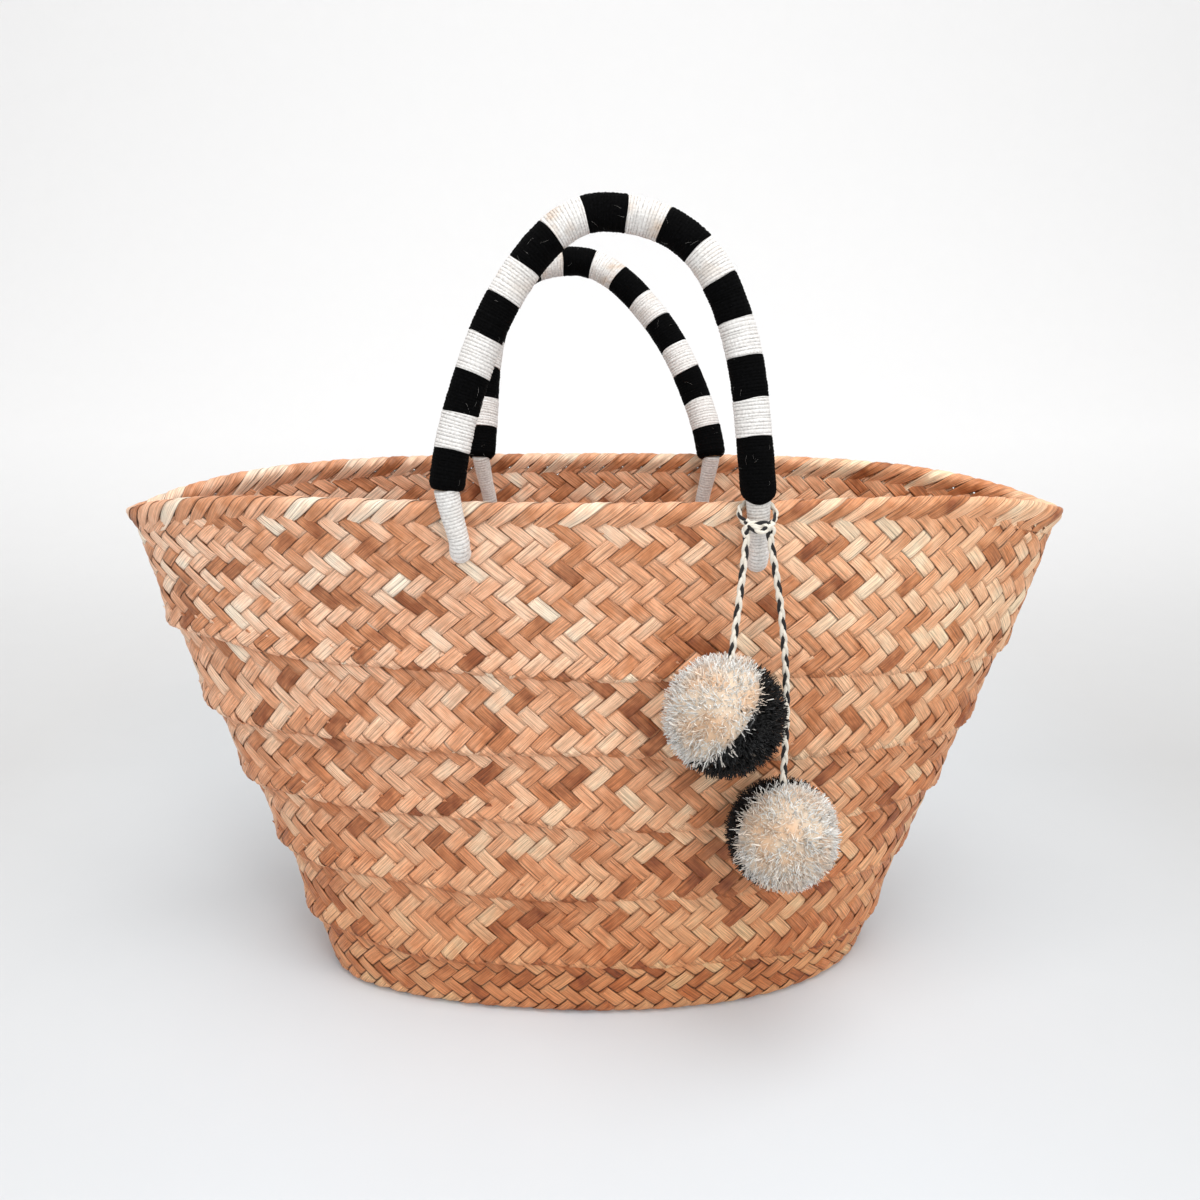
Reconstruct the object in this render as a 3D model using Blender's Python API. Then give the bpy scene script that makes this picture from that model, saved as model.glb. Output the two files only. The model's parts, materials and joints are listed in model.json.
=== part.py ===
"""Woven market basket: a plaited tote with two yarn-wrapped rope handles and a two-pompom charm.

Metres, +Z up. The origin is on the floor under the middle of the base. X runs along the basket's
length, and the charm hangs on the front, -Y, side.
"""

import math

import bmesh
import bpy
from mathutils import Vector
from mathutils.geometry import interpolate_bezier

# Basket body
RIM_TOP = 0.2932
MOUTH_HALF_LENGTH = 0.2612
MOUTH_HALF_DEPTH = 0.0805
MOUTH_POINTEDNESS = 1.35
MOUTH_BULGE = 0.060
BASE_HALF_LENGTH = 0.1610
BASE_HALF_DEPTH = 0.0820
BASE_SHIFT = 0.003
BASE_POINTEDNESS = 0.80
BASE_SKEW = 0.25
END_DROOP = 0.0182
DROOP_POWER = 6
WALL_THICKNESS = 0.004
RIM_RADIUS = 0.0045
BASE_THICKNESS = 0.004
GAP = 0.0003
WALL_STATIONS = 64
WALL_ROWS = 7

# Rope feet: each passes through the wall below the rim
FOOT_RADIUS = 0.0055
FOOT_NECK_RADIUS = 0.0040
FOOT_HOLE_RADIUS = 0.0070
FOOT_CLEARANCE = 0.0005
FRONT_LEFT_HOLE_HEIGHT = 0.2680
FRONT_RIGHT_HOLE_HEIGHT = 0.2630
BACK_HOLE_HEIGHT = 0.2590
FOOT_TAIL_RISE = 0.0113
FOOT_TAIL_SHARE = 0.8
FOOT_TOP_RISE = 0.0010
FOOT_NECK_DROP = 0.0060
FOOT_BEND_OUT = 0.0012
FOOT_BEND_RISE = 0.0016
FOOT_SAG = 0.0002
FOOT_LEG_OUT = 0.0006
FOOT_TAIL_OUT = 0.0007

# Handles: rope core inside, yarn bands outside
HANDLE_RADIUS = 0.0088
CORE_RADIUS = 0.0065
HANDLE_HALF_SPAN = 0.0753
HANDLE_RISE = 0.1351
HANDLE_START = 0.0048
APEX_SHIFT = 0.0008
APEX_LEFT_PULL = -0.0381
APEX_RIGHT_PULL = 0.0633
LEFT_PULL_SHARE = 0.92
LEFT_PULL_RISE = 0.0533
RIGHT_PULL_SHARE = 0.93
RIGHT_PULL_RISE = 0.0677
HANDLE_SIDES = 12
BANDS = 17
WHITE_SHARE = 1.0
BLACK_SHARE = 1.1
FRONT_LAST_SHARE = 1.45

FRONT_HINGE = Vector((0.0035, -0.0872, 0.2955))
FRONT_LEAN = math.radians(10)
FRONT_SIZE = 1.0
FRONT_SWAY = 0.0
BACK_HINGE = Vector((0.0007, 0.0600, 0.2890))
BACK_LEAN = math.radians(18.5)
BACK_SIZE = 0.945
BACK_SWAY = 0.013

# Charm
CORD_RADIUS = 0.002
HITCH_RADIUS = 0.0089
HITCH_TILT = math.radians(33)
HITCH_HEIGHT = 0.2895
KNOT_RADIUS = 0.0023
KNOT_PIVOT = Vector((0.0778, -0.0998, 0.2855))
KNOT_HALF_LENGTH = 0.0065
STRAND_HALF_SPACING = 0.0055
STRAND_DROP = 0.0042
SHORT_POMPOM = Vector((0.0633, -0.1105, 0.1936))
SHORT_POMPOM_RADIUS = 0.0286
SHORT_POMPOM_FACING = Vector((-0.79, -0.10, 0.61)).normalized()
SHORT_CORD_VIA = (Vector((0.0695, -0.1035, 0.2517)),)
LONG_POMPOM = Vector((0.0963, -0.1040, 0.1255))
LONG_POMPOM_RADIUS = 0.0272
LONG_POMPOM_FACING = Vector((0.35, -0.92, 0.14)).normalized()
LONG_CORD_VIA = (Vector((0.0908, -0.0985, 0.2426)), Vector((0.0952, -0.1005, 0.1985)))
CORD_END_SHIFT = 0.001
TIE_RADIUS = 0.010
TIE_HALF_THICKNESS = 0.0009

STRAW = (0.66, 0.36, 0.20, 1)
STRAW_DARK = (0.50, 0.25, 0.12, 1)
OFF_WHITE = (0.86, 0.83, 0.78, 1)
BLACK = (0.008, 0.008, 0.010, 1)
CREAM = (0.88, 0.76, 0.60, 1)
ROPE = (0.42, 0.30, 0.18, 1)


def clear_scene():
    for obj in list(bpy.data.objects):
        bpy.data.objects.remove(obj, do_unlink=True)


def material(name, colour, roughness):
    """A dry natural fibre: no metal, high roughness."""
    made = bpy.data.materials.new(name)
    made.use_nodes = True
    shader = made.node_tree.nodes["Principled BSDF"]
    shader.inputs["Base Color"].default_value = colour
    shader.inputs["Roughness"].default_value = roughness
    shader.inputs["Metallic"].default_value = 0.0
    return made


def add_object(name, data, colour, roughness=0.8, parent=None):
    obj = bpy.data.objects.new(name, data)
    bpy.context.scene.collection.objects.link(obj)
    data.materials.append(material(name + "_material", colour, roughness))
    obj.parent = parent
    return obj


def add_empty(name, location, rotation=(0, 0, 0), parent=None):
    empty = bpy.data.objects.new(name, None)
    bpy.context.scene.collection.objects.link(empty)
    empty.location = location
    empty.rotation_euler = rotation
    empty.empty_display_size = 0.02
    empty.parent = parent
    return empty


def finish_mesh(bm, name, smooth_angle=40):
    bmesh.ops.recalc_face_normals(bm, faces=bm.faces)
    mesh = bpy.data.meshes.new(name)
    bm.to_mesh(mesh)
    bm.free()
    mesh.shade_smooth()
    mesh.set_sharp_from_angle(angle=math.radians(smooth_angle))
    return mesh


def grid_solid(name, loops, closed):
    """Joins equal rings of points, each to the next, then closes the run or caps its two ends."""
    bm = bmesh.new()
    rings = [[bm.verts.new(point) for point in loop] for loop in loops]
    count = len(rings[0])
    pairs = list(zip(rings, rings[1:]))
    if closed:
        pairs.append((rings[-1], rings[0]))
    for first, second in pairs:
        for k in range(count):
            after = (k + 1) % count
            bm.faces.new((first[k], first[after], second[after], second[k]))
    if not closed:
        bm.faces.new(rings[0])
        bm.faces.new(rings[-1])
    return finish_mesh(bm, name)


# ---- basket body


def half_length(share):
    """Half length of the basket at a share of its height; its ends are fullest below the mouth."""
    straight = BASE_HALF_LENGTH + (MOUTH_HALF_LENGTH - BASE_HALF_LENGTH) * share
    return straight + MOUTH_BULGE * share**3 * (1 - share)


def outline(share, angle, offset=0.0):
    """A point of the basket's plan at a share of its height, moved outwards by offset."""
    half_depth = BASE_HALF_DEPTH + (MOUTH_HALF_DEPTH - BASE_HALF_DEPTH) * share
    middle = BASE_SHIFT * (1 - share)

    def plan(a):
        rise = math.sin(a)
        base_power = BASE_POINTEDNESS + BASE_SKEW * math.cos(a)
        power = base_power + (MOUTH_POINTEDNESS - base_power) * share
        x = middle + half_length(share) * math.cos(a)
        return Vector((x, half_depth * math.copysign(abs(rise) ** power, rise)))

    step = 0.02
    along = plan(angle + step) - plan(angle - step)
    outward = Vector((along.y, -along.x)).normalized()
    return plan(angle) + outward * offset


def droop(angle):
    """How far the mouth's two pointed ends hang below its middle."""
    return END_DROOP * abs(math.cos(angle)) ** DROOP_POWER


def station_angles():
    return [2 * math.pi * k / WALL_STATIONS for k in range(WALL_STATIONS)]


def wall_half_depth(x, height):
    """Half depth of the wall's middle surface at a place along the basket and a height."""
    share = height / RIM_TOP
    across = (x - BASE_SHIFT * (1 - share)) / half_length(share)
    return outline(share, math.acos(across)).y


def make_wall():
    top = RIM_TOP - 2 * RIM_RADIUS - GAP
    half = WALL_THICKNESS / 2
    loops = []
    for angle in station_angles():
        profile = []
        for side, rows in ((half, range(WALL_ROWS)), (-half, reversed(range(WALL_ROWS)))):
            for row in rows:
                height = top * row / (WALL_ROWS - 1)
                point = outline(height / RIM_TOP, angle, side)
                profile.append((point.x, point.y, height - droop(angle) * (height / top) ** 2))
        loops.append(profile)
    wall = add_object("basket_wall", grid_solid("basket_wall", loops, closed=True), STRAW)
    for name, x, y, z in foot_holes():
        cut_foot_hole(wall, name, (x, y, z))


def cut_foot_hole(wall, name, place):
    bm = bmesh.new()
    bmesh.ops.create_cone(
        bm,
        cap_ends=True,
        segments=16,
        radius1=FOOT_HOLE_RADIUS,
        radius2=FOOT_HOLE_RADIUS,
        depth=5 * WALL_THICKNESS,
    )
    cutter = add_object(name + "_hole_cutter", finish_mesh(bm, name), STRAW)
    cutter.location = place
    cutter.rotation_euler.x = math.pi / 2
    cutter.hide_render = True
    cutter.display_type = "WIRE"
    cut = wall.modifiers.new(name + "_hole", "BOOLEAN")
    cut.operation = "DIFFERENCE"
    cut.solver = "EXACT"
    cut.object = cutter


def make_base():
    """The flat plaited mat that the wall rises from."""
    bm = bmesh.new()
    inset = -WALL_THICKNESS / 2 - GAP
    corners = []
    for angle in station_angles():
        point = outline(0.0, angle, inset)
        corners.append(bm.verts.new((point.x, point.y, 0.0)))
    floor = bm.faces.new(corners)
    raised = bmesh.ops.extrude_face_region(bm, geom=[floor])
    moved = [item for item in raised["geom"] if isinstance(item, bmesh.types.BMVert)]
    bmesh.ops.translate(bm, verts=moved, vec=(0, 0, BASE_THICKNESS))
    add_object("basket_base", finish_mesh(bm, "basket_base"), STRAW_DARK)


def make_rim():
    """The rolled edge braid on top of the wall."""
    curve = bpy.data.curves.new("rim_braid", "CURVE")
    curve.dimensions = "3D"
    curve.bevel_depth = RIM_RADIUS
    curve.bevel_resolution = 2
    spline = curve.splines.new("POLY")
    spline.points.add(WALL_STATIONS - 1)
    spline.use_cyclic_u = True
    spline.use_smooth = True
    for point, angle in zip(spline.points, station_angles()):
        place = outline(1.0, angle)
        point.co = (place.x, place.y, RIM_TOP - RIM_RADIUS - droop(angle), 1)
    add_object("rim_braid", curve, STRAW)


# ---- handles


def handle_outline(size, sway):
    """Closely spaced points of a handle's centre line, upright in XZ, hinge axis at z = 0.

    sway is how far its apex is pushed sideways.
    """
    left = Vector((-HANDLE_HALF_SPAN, 0, HANDLE_START))
    left_pull = Vector((-LEFT_PULL_SHARE * HANDLE_HALF_SPAN, 0, HANDLE_START + LEFT_PULL_RISE))
    apex_left = Vector((APEX_LEFT_PULL, 0, HANDLE_RISE))
    apex = Vector((APEX_SHIFT, 0, HANDLE_RISE))
    apex_right = Vector((APEX_RIGHT_PULL, 0, HANDLE_RISE))
    right_pull = Vector((RIGHT_PULL_SHARE * HANDLE_HALF_SPAN, 0, HANDLE_START + RIGHT_PULL_RISE))
    right = Vector((HANDLE_HALF_SPAN, 0, HANDLE_START))
    rising = interpolate_bezier(left, left_pull, apex_left, apex, 120)
    falling = interpolate_bezier(apex, apex_right, right_pull, right, 120)
    line = rising + falling[1:]
    return [Vector((size * p.x + sway * (p.z / HANDLE_RISE) ** 2, 0, size * p.z)) for p in line]


def lengths_along(points):
    total = [0.0]
    for first, second in zip(points, points[1:]):
        total.append(total[-1] + (second - first).length)
    return total


def handle_frame(points, lengths, distance):
    """Centre and in-plane normal of the handle's line at a distance along it."""
    k = 1
    while k < len(points) - 1 and lengths[k] < distance:
        k += 1
    share = (distance - lengths[k - 1]) / (lengths[k] - lengths[k - 1])
    along = (points[k] - points[k - 1]).normalized()
    return points[k - 1].lerp(points[k], share), Vector((-along.z, 0, along.x))


def ring(centre, normal, radius):
    """A circle of points round the handle's line."""
    points = []
    for k in range(HANDLE_SIDES):
        angle = 2 * math.pi * (k + 0.5) / HANDLE_SIDES
        points.append(centre + radius * (math.cos(angle) * normal + math.sin(angle) * Vector((0, 1, 0))))
    return points


def band_edges(total, last_share):
    """Start and end of each yarn band along the handle, with a small gap between neighbours."""
    shares = [BLACK_SHARE if k % 2 == 0 else WHITE_SHARE for k in range(BANDS)]
    shares[-1] = last_share
    edges = []
    start = 0.0
    for share in shares:
        length = total * share / sum(shares)
        edges.append((start + GAP / 2, start + length - GAP / 2))
        start += length
    return edges


def make_handle(name, hinge, rotation, size, sway, last_share):
    """One rope core and its row of yarn bands, black at both ends, all hung on the hinge axis."""
    axis = add_empty(name + "_hinge", hinge, rotation)
    points = handle_outline(size, sway)
    lengths = lengths_along(points)
    frames = []
    for index, (start, end) in enumerate(band_edges(lengths[-1], last_share)):
        places = (start, (start + end) / 2, end)
        band_frames = [handle_frame(points, lengths, place) for place in places]
        frames += band_frames
        colour_name, colour = ("black", BLACK) if index % 2 == 0 else ("white", OFF_WHITE)
        outer = [ring(*frame, HANDLE_RADIUS) for frame in band_frames]
        inner = [ring(*frame, CORE_RADIUS + GAP) for frame in reversed(band_frames)]
        band_name = f"{name}_{colour_name}_band_{index + 1:02d}"
        add_object(band_name, grid_solid(band_name, outer + inner, closed=True), colour, 0.9, axis)
    core = [ring(*frame, CORE_RADIUS) for frame in frames]
    core_name = name + "_rope_core"
    add_object(core_name, grid_solid(core_name, core, closed=False), ROPE, 0.9, axis)


# ---- rope feet


def tube(name, points, radii, colour, parent=None):
    """A round cord through smooth points, with closed ends."""
    curve = bpy.data.curves.new(name, "CURVE")
    curve.dimensions = "3D"
    curve.bevel_depth = 1.0
    curve.bevel_resolution = 3
    curve.use_fill_caps = True
    curve.resolution_u = 3
    curve.twist_mode = "MINIMUM"
    spline = curve.splines.new("BEZIER")
    spline.bezier_points.add(len(points) - 1)
    for knot, point, radius in zip(spline.bezier_points, points, radii):
        knot.co = point
        knot.radius = radius
        knot.handle_left_type = "AUTO"
        knot.handle_right_type = "AUTO"
    return add_object(name, curve, colour, 0.9, parent)


def foot_places():
    """Name, hinge, top x, lower x, and height of the hole that each foot passes through."""
    front = FRONT_SIZE * HANDLE_HALF_SPAN
    back = BACK_SIZE * HANDLE_HALF_SPAN
    return (
        ("front_left_foot", FRONT_HINGE, FRONT_HINGE.x - front, 0.005, FRONT_LEFT_HOLE_HEIGHT),
        ("front_right_foot", FRONT_HINGE, FRONT_HINGE.x + front, 0.002, FRONT_RIGHT_HOLE_HEIGHT),
        ("back_left_foot", BACK_HINGE, BACK_HINGE.x - back, 0.004, BACK_HOLE_HEIGHT),
        ("back_right_foot", BACK_HINGE, BACK_HINGE.x + back, -0.004, BACK_HOLE_HEIGHT),
    )


def foot_holes():
    for name, hinge, top_x, slant, hole_z in foot_places():
        depth = wall_half_depth(top_x + slant, hole_z)
        yield name, top_x + slant, math.copysign(depth, hinge.y), hole_z


def make_feet():
    """Each foot: a leg down from the hinge, a turn through the wall and a short tail up the other side."""
    reach = WALL_THICKNESS / 2 + FOOT_CLEARANCE + FOOT_RADIUS
    for (name, hinge, top_x, _, _), (_, low_x, wall_y, hole_z) in zip(foot_places(), foot_holes()):
        main = math.copysign(1, abs(hinge.y) - abs(wall_y)) * math.copysign(1, hinge.y)
        leg_y = wall_y + main * reach
        tail_y = wall_y - main * (reach + FOOT_TAIL_OUT)
        turn = hole_z + reach
        places = (
            (top_x, hinge.y, hinge.z + FOOT_TOP_RISE),
            (top_x, hinge.y, hinge.z - FOOT_NECK_DROP),
            (low_x, leg_y + main * FOOT_LEG_OUT, turn),
            (low_x, (leg_y + wall_y) / 2 + main * FOOT_BEND_OUT, hole_z + FOOT_BEND_RISE),
            (low_x, wall_y, hole_z - FOOT_SAG),
            (low_x, (tail_y + wall_y) / 2 - main * FOOT_BEND_OUT, hole_z + FOOT_BEND_RISE),
            (low_x, tail_y, turn),
            (low_x, tail_y - main * FOOT_LEG_OUT, hole_z + FOOT_TAIL_RISE),
        )
        radii = (FOOT_NECK_RADIUS, *[FOOT_RADIUS] * 6, FOOT_TAIL_SHARE * FOOT_RADIUS)
        tube(name, places, radii, OFF_WHITE)


# ---- charm


def make_hitch():
    """The loop round the right front foot, high behind it to pass over the rim."""
    bpy.ops.mesh.primitive_torus_add(
        major_segments=28, minor_segments=8, major_radius=HITCH_RADIUS, minor_radius=CORD_RADIUS
    )
    loop = bpy.context.active_object
    loop.name = "charm_hitch_loop"
    loop.location = (FRONT_HINGE.x + FRONT_SIZE * HANDLE_HALF_SPAN, FRONT_HINGE.y, HITCH_HEIGHT)
    loop.rotation_euler.x = HITCH_TILT
    loop.data.shade_smooth()
    loop.data.materials.append(material("charm_hitch_loop_material", OFF_WHITE, 0.9))


def make_knot(pivot):
    """The bight that both cords leave, turning on the hitch loop."""
    bm = bmesh.new()
    bmesh.ops.create_uvsphere(bm, u_segments=12, v_segments=8, radius=KNOT_RADIUS)
    for vertex in bm.verts:
        vertex.co.z += math.copysign(KNOT_HALF_LENGTH, vertex.co.z) if abs(vertex.co.z) > 1e-6 else 0.0
    knot = add_object("charm_knot", finish_mesh(bm, "charm_knot"), OFF_WHITE, 0.9, pivot)
    knot.rotation_euler.y = math.pi / 2


def half_ball(name, radius, facing, colour, parent):
    """Half of a pompom: a ball cut off just short of its middle plane."""
    bm = bmesh.new()
    bmesh.ops.create_uvsphere(bm, u_segments=24, v_segments=12, radius=radius)
    bmesh.ops.rotate(bm, verts=bm.verts, cent=(0, 0, 0), matrix=facing.to_track_quat("Z", "Y").to_matrix())
    plane_at = facing * (TIE_HALF_THICKNESS + GAP)
    geometry = bm.verts[:] + bm.edges[:] + bm.faces[:]
    cut = bmesh.ops.bisect_plane(bm, geom=geometry, plane_co=plane_at, plane_no=facing, clear_inner=True)
    rim = [item for item in cut["geom_cut"] if isinstance(item, bmesh.types.BMEdge)]
    bmesh.ops.contextual_create(bm, geom=rim)
    add_object(name, finish_mesh(bm, name), colour, 0.95, parent)


def make_tie(name, facing, parent):
    """The thread wound round the pompom's middle, which holds its fibres and the cord's end."""
    bm = bmesh.new()
    bmesh.ops.create_cone(
        bm, cap_ends=True, segments=16, radius1=TIE_RADIUS, radius2=TIE_RADIUS, depth=2 * TIE_HALF_THICKNESS
    )
    bmesh.ops.rotate(bm, verts=bm.verts, cent=(0, 0, 0), matrix=facing.to_track_quat("Z", "Y").to_matrix())
    add_object(name, finish_mesh(bm, name), BLACK, 0.9, parent)


def make_pompom(name, centre, radius, facing, strand):
    spin = add_empty(name + "_spin", centre - strand.matrix_world.translation, parent=strand)
    half_ball(name + "_natural_half", radius, facing, CREAM, spin)
    half_ball(name + "_black_half", radius, -facing, BLACK, spin)
    make_tie(name + "_tie", facing, spin)


def make_strand(name, side, via, pompom, radius, facing, pivot):
    """A braided cord from the knot to the top of its pompom, with the pompom on its end."""
    top = KNOT_PIVOT + Vector((side * STRAND_HALF_SPACING, 0, 0))
    strand = add_empty(name + "_sway", top - KNOT_PIVOT, parent=pivot)
    bpy.context.view_layer.update()
    start = top - Vector((0, 0, STRAND_DROP))
    end = pompom + Vector((-side * CORD_END_SHIFT, 0, radius + 2 * GAP))
    places = [point - top for point in (start, *via, end)]
    tube(name + "_cord", places, [CORD_RADIUS] * len(places), OFF_WHITE, strand)
    make_pompom(name + "_pompom", pompom, radius, facing, strand)


def make_charm():
    make_hitch()
    pivot = add_empty("charm_pivot", KNOT_PIVOT)
    make_knot(pivot)
    make_strand(
        "short", -1, SHORT_CORD_VIA, SHORT_POMPOM, SHORT_POMPOM_RADIUS, SHORT_POMPOM_FACING, pivot
    )
    make_strand("long", 1, LONG_CORD_VIA, LONG_POMPOM, LONG_POMPOM_RADIUS, LONG_POMPOM_FACING, pivot)


def main():
    clear_scene()
    make_wall()
    make_base()
    make_rim()
    make_feet()
    front_turn = (-FRONT_LEAN, 0, 0)
    back_turn = (BACK_LEAN, 0, math.pi)
    make_handle("front_handle", FRONT_HINGE, front_turn, FRONT_SIZE, FRONT_SWAY, FRONT_LAST_SHARE)
    make_handle("back_handle", BACK_HINGE, back_turn, BACK_SIZE, BACK_SWAY, BLACK_SHARE)
    make_charm()


main()
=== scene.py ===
"""Looks of the woven market basket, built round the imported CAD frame.

The wall, base and rim are interlaced straw strands. The handles and feet are wound with yarn, and the
charm hangs on plaited cords and has two pompoms of cut raffia blades.
"""

import json
import math

import bpy
import numpy as np
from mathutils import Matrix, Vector
from mathutils.geometry import interpolate_bezier


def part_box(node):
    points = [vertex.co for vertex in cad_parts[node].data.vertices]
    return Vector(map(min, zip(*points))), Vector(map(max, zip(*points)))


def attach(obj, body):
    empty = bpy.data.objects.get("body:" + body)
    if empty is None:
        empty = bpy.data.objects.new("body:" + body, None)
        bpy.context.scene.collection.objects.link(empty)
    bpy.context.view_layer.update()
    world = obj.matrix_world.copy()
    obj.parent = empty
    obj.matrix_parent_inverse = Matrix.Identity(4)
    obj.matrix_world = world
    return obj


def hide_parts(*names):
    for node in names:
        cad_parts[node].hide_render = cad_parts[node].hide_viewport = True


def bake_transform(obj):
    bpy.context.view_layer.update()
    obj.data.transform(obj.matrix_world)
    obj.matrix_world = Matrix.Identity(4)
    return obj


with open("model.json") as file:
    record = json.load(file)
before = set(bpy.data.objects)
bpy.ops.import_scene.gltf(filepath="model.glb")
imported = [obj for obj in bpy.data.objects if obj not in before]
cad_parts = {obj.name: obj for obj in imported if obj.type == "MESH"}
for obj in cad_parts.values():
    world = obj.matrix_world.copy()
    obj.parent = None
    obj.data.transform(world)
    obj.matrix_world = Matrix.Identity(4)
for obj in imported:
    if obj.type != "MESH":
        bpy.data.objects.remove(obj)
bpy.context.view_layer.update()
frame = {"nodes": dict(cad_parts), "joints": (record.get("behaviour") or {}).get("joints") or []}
SCENE = bpy.context.scene
PIVOTS = {joint["name"]: joint["pos_m"] for joint in frame["joints"]}
RANDOM = np.random.default_rng(11)
draw = RANDOM.uniform
FULL_TURN = 2 * math.pi
MM = 0.001


# ---- sizes read from the frame


def box_of(*nodes):
    """The centre and size of the box round some of the frame's nodes."""
    lows, highs = zip(*(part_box(node) for node in nodes))
    low = Vector(map(min, zip(*lows)))
    high = Vector(map(max, zip(*highs)))
    return (low + high) / 2, high - low


GAP = 0.3 * MM
WALL_THICKNESS = 4 * MM
RIM_RADIUS = 4.5 * MM
RIM_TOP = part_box("rim_braid")[1].z
WALL_TOP = RIM_TOP - 2 * RIM_RADIUS - GAP
MOUTH_HALF_LENGTH = box_of("rim_braid")[1].x / 2 - RIM_RADIUS
MOUTH_HALF_DEPTH = box_of("rim_braid")[1].y / 2 - RIM_RADIUS
BASE_HALF_LENGTH = box_of("basket_base")[1].x / 2 + WALL_THICKNESS / 2 + GAP
BASE_HALF_DEPTH = box_of("basket_base")[1].y / 2 + WALL_THICKNESS / 2 + GAP
MOUTH_POINTEDNESS = 1.35
MOUTH_BULGE = 60 * MM
BASE_SHIFT = box_of("basket_base")[0].x
BASE_POINTEDNESS = 0.80
BASE_SKEW = 0.25
END_DROOP = 18.2 * MM
DROOP_POWER = 6


# ---- meshes made of closed tubes


class Skin:
    """Closed tubes gathered into one mesh. A tube is a run of rings with equal numbers of points.

    Each point carries a tone, which is its place in the material's range of colours, and a fibre
    vector: the distance along the fibre, the place across it from -0.5 to 0.5, and how exposed it is.
    """

    def __init__(self):
        self.points, self.loops, self.sizes, self.tones, self.fibres = [], [], [], [], []
        self.total = 0

    def add(self, rings, tone, along, across, exposed=1.0, looped=False):
        """rings has the shape (tubes, rings, sides, 3); the other values spread to its first three."""
        rings = np.asarray(rings, float)
        shape = rings.shape[:3]
        values = [np.broadcast_to(value, shape) for value in (tone, along, across, exposed)]
        if facing_sign(rings) < 0:
            rings = rings[:, :, ::-1]
            values = [value[:, :, ::-1] for value in values]
        index = self.total + np.arange(rings[..., 0].size).reshape(shape)
        self.total += index.size
        caps = () if looped else (index[:, 0, ::-1], index[:, -1])
        if looped:
            index = np.concatenate((index, index[:, :1]), axis=1)
        after = np.roll(index, -1, axis=2)
        quads = np.stack((index[:, :-1], after[:, :-1], after[:, 1:], index[:, 1:]), axis=-1)
        for corners in (quads.reshape(-1, 4), *caps):
            self.loops.append(corners.reshape(-1))
            self.sizes.append(np.full(len(corners), corners.shape[1]))
        self.points.append(rings.reshape(-1, 3))
        self.tones.append(values[0].reshape(-1))
        self.fibres.append(np.stack(values[1:], axis=-1).reshape(-1, 3))

    def make(self, name, material, slot, body=None, nodes=(), crisp=False):
        """One mesh of all the tubes, riding on a body and standing for some of the frame's nodes."""
        points = np.concatenate(self.points)
        loops = np.concatenate(self.loops).astype(np.int32)
        sizes = np.concatenate(self.sizes).astype(np.int32)
        mesh = bpy.data.meshes.new(name)
        mesh.vertices.add(len(points))
        mesh.vertices.foreach_set("co", points.reshape(-1).astype(np.float32))
        mesh.loops.add(len(loops))
        mesh.loops.foreach_set("vertex_index", loops)
        mesh.polygons.add(len(sizes))
        mesh.polygons.foreach_set("loop_start", running(sizes[:-1]).astype(np.int32))
        mesh.polygons.foreach_set("loop_total", sizes)
        for label, kind, field, values in (
            ("tone", "FLOAT", "value", self.tones),
            ("fibre", "FLOAT_VECTOR", "vector", self.fibres),
        ):
            data = mesh.attributes.new(label, kind, "POINT").data
            data.foreach_set(field, np.concatenate(values).reshape(-1).astype(np.float32))
        mesh.update(calc_edges=True)
        mesh.validate()
        mesh.shade_smooth()
        if crisp:
            mesh.set_sharp_from_angle(angle=math.radians(24))
        mesh.materials.append(material)
        piece = add_object(name, mesh)
        if body:
            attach(piece, body)
        if nodes:
            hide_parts(*nodes)
        return piece


def facing_sign(rings):
    """Positive where the rings turn anticlockwise about the way the tubes run."""
    sign = 0.0
    for k in range(rings.shape[1] - 1):
        centre = rings[:, k].mean(axis=1, keepdims=True)
        spokes = rings[:, k] - centre
        area = np.cross(spokes, np.roll(spokes, -1, axis=1)).sum(axis=1)
        forward = rings[:, k + 1].mean(axis=1) - centre[:, 0]
        sign += (area * forward).sum()
    return sign


def add_object(name, data):
    made = bpy.data.objects.new(name, data)
    SCENE.collection.objects.link(made)
    return made


def unit(vectors):
    return vectors / np.maximum(np.linalg.norm(vectors, axis=-1, keepdims=True), 1e-12)


def turn_about_x(angle):
    cos, sin = math.cos(angle), math.sin(angle)
    return np.array(((1, 0, 0), (0, cos, -sin), (0, sin, cos)))


def circle(count):
    return np.arange(count) * FULL_TURN / count


def spokes(around, side, up):
    """Unit circles of points in the planes of the side and up vectors."""
    return np.cos(around)[:, None] * side[..., None, :] + np.sin(around)[:, None] * up[..., None, :]


def smoothstep(value):
    value = np.clip(value, 0.0, 1.0)
    return value * value * (3 - 2 * value)


def smooth_path(knots, count):
    """Evenly spaced points on a smooth curve through the knots, with its length."""
    knots = np.asarray(knots, float)
    ends = np.concatenate(([2 * knots[0] - knots[1]], knots, [2 * knots[-1] - knots[-2]]))
    share = np.linspace(0, 1, 24, endpoint=False)[:, None]
    before, first, second, after = (ends[k : k + len(knots) - 1, None] for k in range(4))
    leaving = (second - before) / 2
    arriving = (after - first) / 2
    bend = 3 * (second - first) - 2 * leaving - arriving
    twist = 2 * (first - second) + leaving + arriving
    runs = first + leaving * share + bend * share**2 + twist * share**3
    return even_path(np.concatenate((*runs, knots[-1:])), count)


def even_path(dense, count):
    """Evenly spaced points along close ones, with their length."""
    travelled = running(np.linalg.norm(np.diff(dense, axis=0), axis=1))
    wanted = np.linspace(0, travelled[-1], count)
    points = np.stack([np.interp(wanted, travelled, dense[:, k]) for k in range(dense.shape[1])], axis=1)
    return points, travelled[-1]


def between(run, spot):
    """The run's values at fractional places, and the entry below each place."""
    low = np.minimum(spot.astype(int), len(run) - 2)
    share = (spot - low).reshape(spot.shape + (1,) * (run.ndim - 1))
    return mix(run[low], run[low + 1], share), low


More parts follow.
